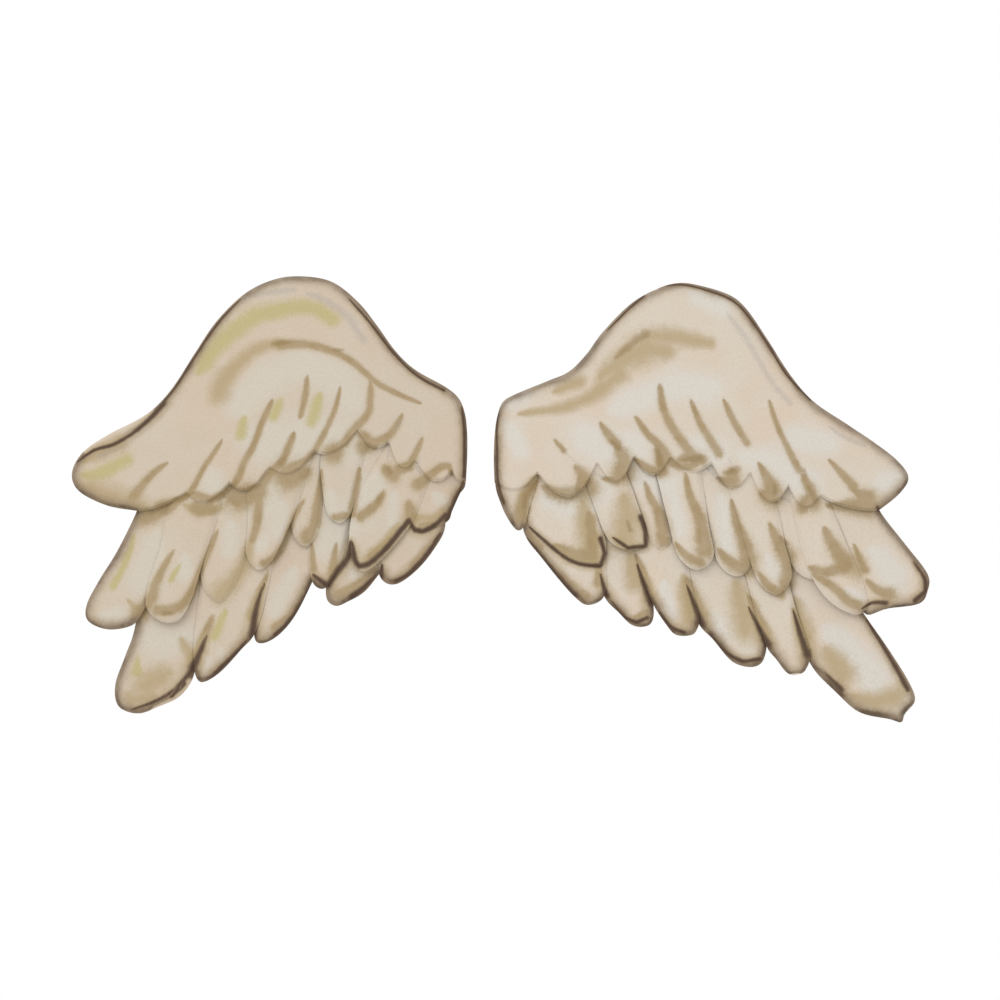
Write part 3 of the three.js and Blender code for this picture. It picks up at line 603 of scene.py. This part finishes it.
def outer_rim(outlines, panel):
    """Points on the edge of the whole wing: those on one sheet's edge with neither another
    sheet nor the back panel in front or behind.

    Each has a weight for its ink, least where the edge faces up and 1 where it faces down.
    """
    kept, weights = [], []
    for name, outline in outlines.items():
        points = evenly(outline, RIM_SPACING)
        covered = inside(points, panel)
        for other, cover in outlines.items():
            if other != name:
                covered |= inside(points, cover)
        ahead = np.roll(points, -2, axis=0) - np.roll(points, 2, axis=0)
        area = np.cross(points, np.roll(points, -1, axis=0)).sum()
        facing_up = -ahead[:, 0] * np.sign(area) / np.maximum(np.linalg.norm(ahead, axis=1), TINY)
        weight = np.clip(RIM_WEIGHT_UPRIGHT - RIM_WEIGHT_SLOPE * facing_up, RIM_WEIGHT_LEAST, 1)
        kept.append(points[~covered])
        weights.append(weight[~covered])
    return np.vstack(kept), np.concatenate(weights)


def rim_distance(places, rim, rim_weight):
    """The distance from each place to the nearest rim point, and that point's weight, a few
    thousand places at a time."""
    distance, weight = np.empty(len(places)), np.empty(len(places))
    for start in range(0, len(places), PLACES_AT_ONCE):
        some = slice(start, start + PLACES_AT_ONCE)
        part = places[some]
        gaps = (part[:, None, 0] - rim[None, :, 0]) ** 2 + (part[:, None, 1] - rim[None, :, 1]) ** 2
        nearest = gaps.argmin(axis=1)
        distance[some] = np.sqrt(gaps[np.arange(len(part)), nearest])
        weight[some] = rim_weight[nearest]
    return distance, weight


# ---------------------------------------------------------------- making meshes


def grid_mesh(name, grid, behind):
    """A closed mesh from a grid of loops. Neighbouring loops are joined by four-sided faces,
    and the end loops are single points. Faces behind the card use the second material."""
    along, around = grid.shape[:2]
    row = np.arange(along - 1)[:, None] * around
    here = np.arange(around)[None, :]
    following = (here + 1) % around
    corners = (row + here, row + following, row + around + following, row + around + here)
    faces = np.stack(corners, axis=2)
    mesh = bpy.data.meshes.new(name)
    mesh.from_pydata((grid.reshape(-1, 3) * MM).tolist(), [], faces.reshape(-1, 4).tolist())
    mesh.polygons.foreach_set("material_index", behind[:-1].astype(np.int32).ravel())
    mesh.polygons.foreach_set("use_smooth", np.ones(len(mesh.polygons), bool))
    return mesh


def add_field(mesh, name, values):
    """Stores one number for each vertex, for the paint to read."""
    mesh.attributes.new(name, "FLOAT", "POINT").data.foreach_set("value", values.astype(np.float32))


def finished_object(name, mesh, materials):
    """Puts a mesh in the scene at the origin, merges its poles and points its faces outwards."""
    work = bmesh.new()
    work.from_mesh(mesh)
    bmesh.ops.remove_doubles(work, verts=work.verts, dist=DOUBLES * MM)
    bmesh.ops.recalc_face_normals(work, faces=work.faces)
    work.to_mesh(mesh)
    work.free()
    piece = bpy.data.objects.new(name, mesh)
    bpy.context.collection.objects.link(piece)
    for material in materials:
        mesh.materials.append(material)
    return piece


# ---------------------------------------------------------------- finishes

# Sizes of the patches in the finishes, in millimetres.
BROAD_SIZE = 30
MOTTLE_SIZE = 9
POOL_SIZE = 4.5
WAVER_SIZE = 2.6
TOOTH_SIZE = 0.6
RIM_WANDER_SIZE = 11
RIM_WANDER = 2.2                # how far the ink moves to and fro along the rim
RIM_PATCH_SIZE = 6
CLOUD_SIZE = 18
FIBRE_SIZE = 1.1
DULL_SIZE = 3.5
DRAWN_SIZE = 0.35

GREEN_MARKER = (0.465, 0.405, 0.170)
# the wash tan colours the painted shade of the washes, and the soft edges of the tan strokes and ink
# lines
WASH_TAN = (0.420, 0.318, 0.170)
MARKER_TAN = (0.348, 0.250, 0.130)
# the deep tan colours the painted shade of the deep marks and the card's dark speckle
DEEP_TAN = (0.270, 0.180, 0.075)
GRAPHITE = (0.30, 0.295, 0.30)
RIM_TAN = (0.375, 0.280, 0.175)
GREY_INK = (0.195, 0.142, 0.092)
SOFT_INK = (0.110, 0.065, 0.040)
DARK_INK = (0.040, 0.021, 0.014)
# Each wing was washed on its own, the right one paler: base, warm base, highlight.
WASHES = {
    "left": ((0.578, 0.492, 0.388), (0.590, 0.480, 0.372), (0.598, 0.543, 0.458)),
    "right": ((0.640, 0.556, 0.456), (0.648, 0.538, 0.428), (0.650, 0.610, 0.545)),
}
PLAIN_CARD = (0.56, 0.48, 0.37)
PALE_CARD = (0.60, 0.55, 0.47)
CARD_FLECK = (0.42, 0.33, 0.23)
NICKEL = (0.62, 0.60, 0.56)
DULL_NICKEL = (0.44, 0.41, 0.36)
FLOOR_PALE = (0.82, 0.82, 0.81)

# Which sockets of a colour mix node are its amount, its two colours and its result.
MIX_AMOUNT, MIX_BELOW, MIX_ABOVE, MIX_RESULT = 0, 6, 7, 2

# Layers of paint: the mark, the colour, how far slow noise and fine noise move its edge, the
# ratios at which it is whole and gone, and its strength.
UNDER_MARKER = [
    ("Green", GREEN_MARKER, 0.7, 0.6, 0.2, 1.45, 0.78),
    # painted shade: the broad washes
    ("Shade wash", WASH_TAN, 0.8, 0.4, 0.1, 1.6, 0.8),
    # the soft edge of the tan strokes, part of their painted shade
    ("Tan", WASH_TAN, 0.9, 0.4, 0.6, 2.3, 0.42),
]
OVER_MARKER = [
    # painted shade: darker marker in the notches and under the tips
    ("Deep shade", DEEP_TAN, 0.8, 0.5, 0.1, 1.6, 0.62),
    ("Pencil", GRAPHITE, 0.6, 1.6, 0.0, 1.8, 0.3),
    ("Ink", WASH_TAN, 0.9, 0.3, 0.8, 4.0, 0.6),
]
OVER_INK = [
    ("Ink", DARK_INK, 0.6, 0.4, 0.0, 1.0, 0.6),
]


class Finish:
    """A material being put together. Each method adds one step, and most return its output."""

    def __init__(self, name, roughness, specular, metallic=0.0):
        self.material = bpy.data.materials.new(name)
        self.material.use_nodes = True
        self.nodes = self.material.node_tree.nodes
        self.links = self.material.node_tree.links
        self.shader = self.nodes["Principled BSDF"]
        self.shader.inputs["Roughness"].default_value = roughness
        self.shader.inputs["Specular IOR Level"].default_value = specular
        self.shader.inputs["Metallic"].default_value = metallic
        self.place = self.nodes.new("ShaderNodeTexCoord").outputs["Object"]

    def put(self, socket, value):
        """Links an output to a socket, or sets the socket to a plain value."""
        if isinstance(value, bpy.types.NodeSocket):
            self.links.new(value, socket)
        elif isinstance(value, tuple):
            socket.default_value = (*value, 1.0)
        else:
            socket.default_value = value

    def field(self, name):
        """One of the numbers stored on the mesh."""
        node = self.nodes.new("ShaderNodeAttribute")
        node.attribute_name = name
        return node.outputs["Fac"]

    def noise(self, size, detail, stretch=(1.0, 1.0, 1.0)):
        """Smooth random values from 0 to 1 whose patches are about the given size in mm."""
        mapping = self.nodes.new("ShaderNodeMapping")
        mapping.inputs["Scale"].default_value = stretch
        self.links.new(self.place, mapping.inputs["Vector"])
        node = self.nodes.new("ShaderNodeTexNoise")
        node.inputs["Scale"].default_value = 1 / (size * MM)
        node.inputs["Detail"].default_value = detail
        self.links.new(mapping.outputs["Vector"], node.inputs["Vector"])
        return node.outputs["Fac"]

    def sum(self, first, second, weight):
        """The first value plus the second one times the weight."""
        node = self.nodes.new("ShaderNodeMath")
        node.operation = "MULTIPLY_ADD"
        self.put(node.inputs[0], second)
        self.put(node.inputs[1], weight)
        self.put(node.inputs[2], first)
        return node.outputs[0]

    def centred(self, value):
        """A value from 0 to 1, moved down to run from -0.5 to 0.5."""
        return self.sum(value, -0.5, 1.0)

    def times(self, first, second):
        """The product of two values."""
        node = self.nodes.new("ShaderNodeMath")
        node.operation = "MULTIPLY"
        self.put(node.inputs[0], first)
        self.put(node.inputs[1], second)
        return node.outputs[0]

    def fade(self, value, full_at, none_at, strength=1.0):
        """The strength where the value is at or past full_at, nothing past none_at, and a
        smooth step between."""
        node = self.nodes.new("ShaderNodeMapRange")
        node.interpolation_type = "SMOOTHSTEP"
        self.put(node.inputs["Value"], value)
        self.put(node.inputs["From Min"], full_at)
        self.put(node.inputs["From Max"], none_at)
        self.put(node.inputs["To Min"], strength)
        self.put(node.inputs["To Max"], 0.0)
        return node.outputs["Result"]

    def over(self, below, colour, amount):
        """A colour laid over another one by an amount from 0 to 1."""
        node = self.nodes.new("ShaderNodeMix")
        node.data_type = "RGBA"
        self.put(node.inputs[MIX_AMOUNT], amount)
        self.put(node.inputs[MIX_BELOW], below)
        self.put(node.inputs[MIX_ABOVE], colour)
        return node.outputs[MIX_RESULT]

    def relief(self, height, depth):
        """Bumps of the given depth in millimetres."""
        node = self.nodes.new("ShaderNodeBump")
        node.inputs["Distance"].default_value = depth * MM
        self.links.new(height, node.inputs["Height"])
        self.links.new(node.outputs["Normal"], self.shader.inputs["Normal"])


class Paint(Finish):
    """A finish whose colours follow the marks stored on the mesh, each a little unsteadily."""

    def __init__(self, name, roughness, specular):
        super().__init__(name, roughness, specular)
        self.waver = self.noise(WAVER_SIZE, detail=3)
        self.tooth = self.noise(TOOTH_SIZE, detail=4)

    def mark(self, name, waver_by, tooth_by):
        """What is stored for one kind of mark, moved to and fro by slow and by fine noise, so
        that no edge is cleaner than a hand's."""
        moved = self.sum(self.field(name), self.centred(self.waver), waver_by)
        return self.sum(moved, self.centred(self.tooth), tooth_by)

    def layers(self, colour, rows):
        """The colour with one layer for each row laid over it along its marks."""
        for name, ink, waver_by, tooth_by, full_at, none_at, strength in rows:
            amount = self.fade(self.mark(name, waver_by, tooth_by), full_at, none_at, strength)
            colour = self.over(colour, ink, amount)
        return colour


def washed(card, side):
    """One wing's beige wash: broad warm patches, then small pale ones, then the painted highlights."""
    base, warm, highlight = WASHES[side]
    broad = card.noise(BROAD_SIZE, detail=2)
    mottle = card.noise(MOTTLE_SIZE, detail=3)
    colour = card.over(base, warm, card.fade(broad, full_at=0.62, none_at=0.4, strength=0.9))
    pale = card.fade(mottle, full_at=0.75, none_at=0.35, strength=0.35)
    colour = card.over(colour, highlight, pale)
    # the painted highlights, laid along their marks
    return card.layers(colour, [("Light", highlight, 0.5, 0.3, 0.3, 1.7, 0.95)])


def rimmed(card, colour):
    """The colour with ink along the wing's outer rim: a tan glow, then grey, soft and dark
    ink, each narrower than the one before.

    The ink wanders to and fro along the rim, comes in patches, is heavier on the lower edges
    and leaves the bare places alone.
    """
    # Lower edges weigh more, which strengthens all but the grey ink and weakens that a little.
    kept = card.fade(card.mark("Bare", waver_by=0.5, tooth_by=0.3), full_at=1.25, none_at=0.85)
    lower = card.field("Weight")
    glow = card.fade(card.mark("Rim", waver_by=1.8, tooth_by=0.5), full_at=1.2, none_at=4.8, strength=0.6)
    glow = card.times(card.times(glow, kept), card.sum(0.25, lower, 0.75))
    slow = card.centred(card.noise(RIM_WANDER_SIZE, detail=2))
    wander = card.sum(card.mark("Rim", waver_by=0.9, tooth_by=0.6), slow, RIM_WANDER)
    patches = card.fade(card.noise(RIM_PATCH_SIZE, detail=3), full_at=0.62, none_at=0.38)
    grey = card.times(card.fade(wander, full_at=0.9, none_at=3.0, strength=0.54), kept)
    grey = card.times(grey, card.sum(1.0, lower, -0.1))
    soft = card.times(card.fade(wander, full_at=0.75, none_at=1.75), kept)
    soft = card.times(soft, card.sum(card.sum(0.1, patches, 0.22), lower, 0.24))
    dark = card.fade(wander, full_at=0.5, none_at=1.4, strength=0.55)
    dark = card.times(card.times(dark, card.times(kept, lower)), patches)
    for ink, amount in ((RIM_TAN, glow), (GREY_INK, grey), (SOFT_INK, soft), (DARK_INK, dark)):
        colour = card.over(colour, ink, amount)
    return colour


def painted_card(side):
    """Card washed in one wing's beige, with marker, pencil and ink laid over it in that order.

    The strokes are a little glossier than the dry card and lie a little lower in its tooth.
    """
    card = Paint("Painted card " + side, roughness=0.78, specular=0.25)
    pooled = card.fade(card.noise(POOL_SIZE, detail=3), full_at=0.6, none_at=0.3, strength=0.22)
    tan_strength = card.sum(0.95, pooled, -1.0)
    tan_mark = card.mark("Tan", waver_by=0.6, tooth_by=0.6)
    tan = card.fade(tan_mark, full_at=0.45, none_at=1.5, strength=tan_strength)
    ink_mark = card.mark("Ink", waver_by=0.5, tooth_by=0.4)
    ink = card.fade(ink_mark, full_at=0.35, none_at=1.6, strength=0.92)
    colour = card.layers(washed(card, side), UNDER_MARKER)
    # the tan strokes: partings between the feathers, with painted shade beside them and under the tips
    colour = card.over(colour, MARKER_TAN, tan)
    colour = rimmed(card, card.layers(colour, OVER_MARKER))
    colour = card.layers(card.over(colour, SOFT_INK, ink), OVER_INK)
    speckle = card.fade(card.tooth, full_at=0.36, none_at=0.6, strength=0.09)
    card.put(card.shader.inputs["Base Color"], card.over(colour, DEEP_TAN, speckle))

    strokes = card.sum(tan, ink, 1.0)
    dry = card.sum(0.70, card.tooth, 0.2)
    card.put(card.shader.inputs["Roughness"], card.sum(dry, strokes, -0.14))
    card.relief(card.sum(card.tooth, strokes, -0.35), depth=0.05)
    return card.material


def plain_card():
    """The uncoloured back of the card: short pale and dark fibres lie every way on it."""
    card = Finish("Plain card", roughness=0.85, specular=0.2)
    fibre_along = card.noise(FIBRE_SIZE, detail=4, stretch=(0.25, 1.0, 1.6))
    fibre_across = card.noise(FIBRE_SIZE, detail=4, stretch=(1.6, 1.0, 0.25))
    cloud = card.fade(card.noise(CLOUD_SIZE, detail=3), full_at=0.65, none_at=0.35, strength=0.35)
    flecks_along = card.fade(fibre_along, full_at=0.74, none_at=0.62, strength=0.5)
    flecks_across = card.fade(fibre_across, full_at=0.74, none_at=0.62, strength=0.35)
    colour = card.over(PLAIN_CARD, PALE_CARD, cloud)
    colour = card.over(colour, CARD_FLECK, flecks_along)
    colour = card.over(colour, CARD_FLECK, flecks_across)
    card.put(card.shader.inputs["Base Color"], colour)
    card.put(card.shader.inputs["Roughness"], card.sum(0.74, fibre_across, 0.2))
    card.relief(card.sum(fibre_along, fibre_across, 1.0), depth=0.05)
    return card.material


def nickel():
    """Satin nickel plate over steel, drawn along its length, with worn and dulled patches."""
    plate = Finish("Nickel plate", roughness=0.3, specular=0.5, metallic=1.0)
    drawn = plate.noise(DRAWN_SIZE, detail=3, stretch=(0.04, 1.0, 1.0))
    dull = plate.noise(DULL_SIZE, detail=4)
    dulled = plate.fade(dull, full_at=0.7, none_at=0.45, strength=0.6)
    plate.put(plate.shader.inputs["Base Color"], plate.over(NICKEL, DULL_NICKEL, dulled))
    plate.put(plate.shader.inputs["Roughness"], plate.sum(plate.sum(0.14, drawn, 0.2), dull, 0.16))
    plate.relief(drawn, depth=0.012)
    return plate.material


# ---------------------------------------------------------------- the wings

FEATHER_SHAPE = {
    "thick": CARD_THICK, "edge_reach": EDGE_REACH, "steps": FEATHER_STEPS, "camber": CAMBER,
}
ARM_SHAPE = {
    "thick": ARM_THICK, "edge_reach": ARM_EDGE_REACH, "steps": ARM_STEPS, "camber": 0,
}


def long_axis(outline):
    """The direction in which an outline is longest: that of its greatest spread."""
    spread = np.cov((outline - outline.mean(axis=0)).T)
    return np.linalg.eigh(spread)[1][:, -1]


def store_fields(mesh, places, rim):
    """Stores the ratio to the strokes of every kind of mark, and the rim's distance and weight."""
    for name, strokes in MARKS.items():
        add_field(mesh, name, stroke_ratio(places, strokes))
    distance, weight = rim_distance(places, *rim)
    add_field(mesh, "Rim", distance)
    add_field(mesh, "Weight", weight)


def card_sheet(node, outline, axis, shape, score, rim, finishes):
    """One card sheet of a wing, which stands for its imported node.

    Where it is scored, the front sinks along the tan strokes as a bell curve of the ratio.
    """
    grid, behind = sheet_grid(outline, axis, sheet_levels(node), **shape)
    places = grid[:, :, [0, 2]].reshape(-1, 2)
    if score:
        groove = stroke_ratio(places, TAN).reshape(grid.shape[:2])
        in_front = np.arange(grid.shape[1])[None, :] < grid.shape[1] // 2
        grid[:, :, 1] += score * np.exp(-(groove**2)) * in_front
    mesh = grid_mesh(node + "_sheet", grid, behind)
    store_fields(mesh, places, rim)
    piece = finished_object(node + "_sheet", mesh, finishes)
    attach(piece, "root")
    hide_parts(node)


def wing(side, finishes):
    """All the sheets of one wing: the arm panel and both rows of feathers."""
    nodes = [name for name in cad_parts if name.startswith(side)]
    feathers = [name for name in nodes if "_primary_" in name or "_secondary_" in name]
    arm = side + "_arm_panel"
    outlines = {name: sheet_outline(name) for name in feathers + [arm]}
    rim = outer_rim(outlines, sheet_outline(side + "_back_panel"))
    for name in feathers:
        outline = outlines[name]
        card_sheet(name, outline, long_axis(outline), FEATHER_SHAPE, 0, rim, finishes)
    card_sheet(arm, outlines[arm], (1, 0), ARM_SHAPE, SCORE_DEPTH, rim, finishes)


# ---------------------------------------------------------------- back panels and bar pins


def softened_copy(node, name, material, body, radius):
    """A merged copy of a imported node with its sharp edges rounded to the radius."""
    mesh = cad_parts[node].data.copy()
    mesh.materials.clear()
    piece = finished_object(name, mesh, [material])
    bevel = piece.modifiers.new("Rounded edges", "BEVEL")
    bevel.width = radius * MM
    bevel.segments = ROUNDING_SEGMENTS
    bevel.limit_method = "ANGLE"
    bevel.angle_limit = ROUNDED_ANGLE
    mesh.polygons.foreach_set("use_smooth", np.ones(len(mesh.polygons), bool))
    mesh.set_sharp_from_angle(angle=ROUNDED_ANGLE)
    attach(piece, body)
    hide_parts(node)


def backing(side, card, plate):
    """The back panel of one wing and the bar pin that is glued to it."""
    rows = (
        ("_back_panel", "_back_card", card, "plain_card", "root", CARD_ROUNDING),
        ("_pin_bar", "_bar_steel", plate, "steel", "root", BAR_ROUNDING),
        ("_hinge_rivet", "_rivet_steel", plate, "steel", "root", RIVET_ROUNDING),
        ("_needle", "_needle_steel", plate, "steel", side + "_needle", PIN_ROUNDING),
        ("_catch", "_catch_steel", plate, "steel", side + "_catch", PIN_ROUNDING),
    )
    for node, name, material, slot_name, body, radius in rows:
        softened_copy(side + node, side + name, material, body, radius)


# ---------------------------------------------------------------- floor, light and camera


def floor():
    """A pale round floor well below the wings: a ring of points joined to its middle."""
    turns = np.linspace(0, 2 * np.pi, FLOOR_SIDES, endpoint=False)
    circle = np.stack([np.cos(turns), np.sin(turns), turns * 0], axis=1) * FLOOR_RADIUS
    places = np.vstack([circle, [[0, 0, 0]]]) + [0, 0, -FLOOR_DROP]
    faces = [(k, (k + 1) % FLOOR_SIDES, FLOOR_SIDES) for k in range(FLOOR_SIDES)]
    mesh = bpy.data.meshes.new("floor")
    mesh.from_pydata((places * MM).tolist(), [], faces)
    pale = Finish("Pale floor", roughness=0.9, specular=0.1)
    pale.put(pale.shader.inputs["Base Color"], FLOOR_PALE)
    mesh.materials.append(pale.material)
    piece = bpy.data.objects.new("floor", mesh)
    bpy.context.collection.objects.link(piece)


def studio():
    """White surroundings and one large soft lamp, high and to the left in front."""
    scene = bpy.context.scene
    scene.view_settings.view_transform = "Standard"
    world = bpy.data.worlds.new("Studio")
    scene.world = world
    world.use_nodes = True
    background = world.node_tree.nodes["Background"]
    background.inputs["Color"].default_value = (1, 1, 1, 1)
    background.inputs["Strength"].default_value = 1.0
    lamp = bpy.data.lights.new("Soft lamp", "AREA")
    lamp.shape = "DISK"
    lamp.size = LAMP_SIZE * MM
    lamp.energy = LAMP_WATTS
    lamp_object = bpy.data.objects.new("Soft lamp", lamp)
    place = Vector(LAMP_PLACE) * MM
    lamp_object.location = place
    lamp_object.rotation_euler = (-place).to_track_quat("-Z", "Y").to_euler()
    bpy.context.collection.objects.link(lamp_object)


def camera():
    """A long lens square in front of the wings, so that both lie flat to the view."""
    lens = bpy.data.cameras.new("Camera")
    lens.lens = LENS
    lens.sensor_width = SENSOR
    lens.clip_start = NEAREST * MM
    lens.clip_end = FURTHEST * MM
    lens_object = bpy.data.objects.new("Camera", lens)
    distance = VIEW_WIDTH * LENS / SENSOR
    front = cad_low.y / MM
    lens_object.location = Vector((VIEW_CENTRE[0], front - distance, VIEW_CENTRE[1])) * MM
    lens_object.rotation_euler = (np.pi / 2, 0, 0)
    bpy.context.collection.objects.link(lens_object)
    bpy.context.scene.camera = lens_object


# ---------------------------------------------------------------- putting it together

# the washes, the deep marks and much of the tan are painted shade, and the light marks are painted
# highlights
MARKS = {
    "Shade wash": WASH, "Tan": TAN, "Deep shade": DEEP, "Ink": INK, "Green": GREEN,
    "Light": PAINTED_HIGHLIGHTS, "Pencil": PENCIL, "Bare": BARE,
}
plain, plate = plain_card(), nickel()
for side in ("left", "right"):
    wing(side, [painted_card(side), plain])
    backing(side, plain, plate)
floor()
studio()
camera()
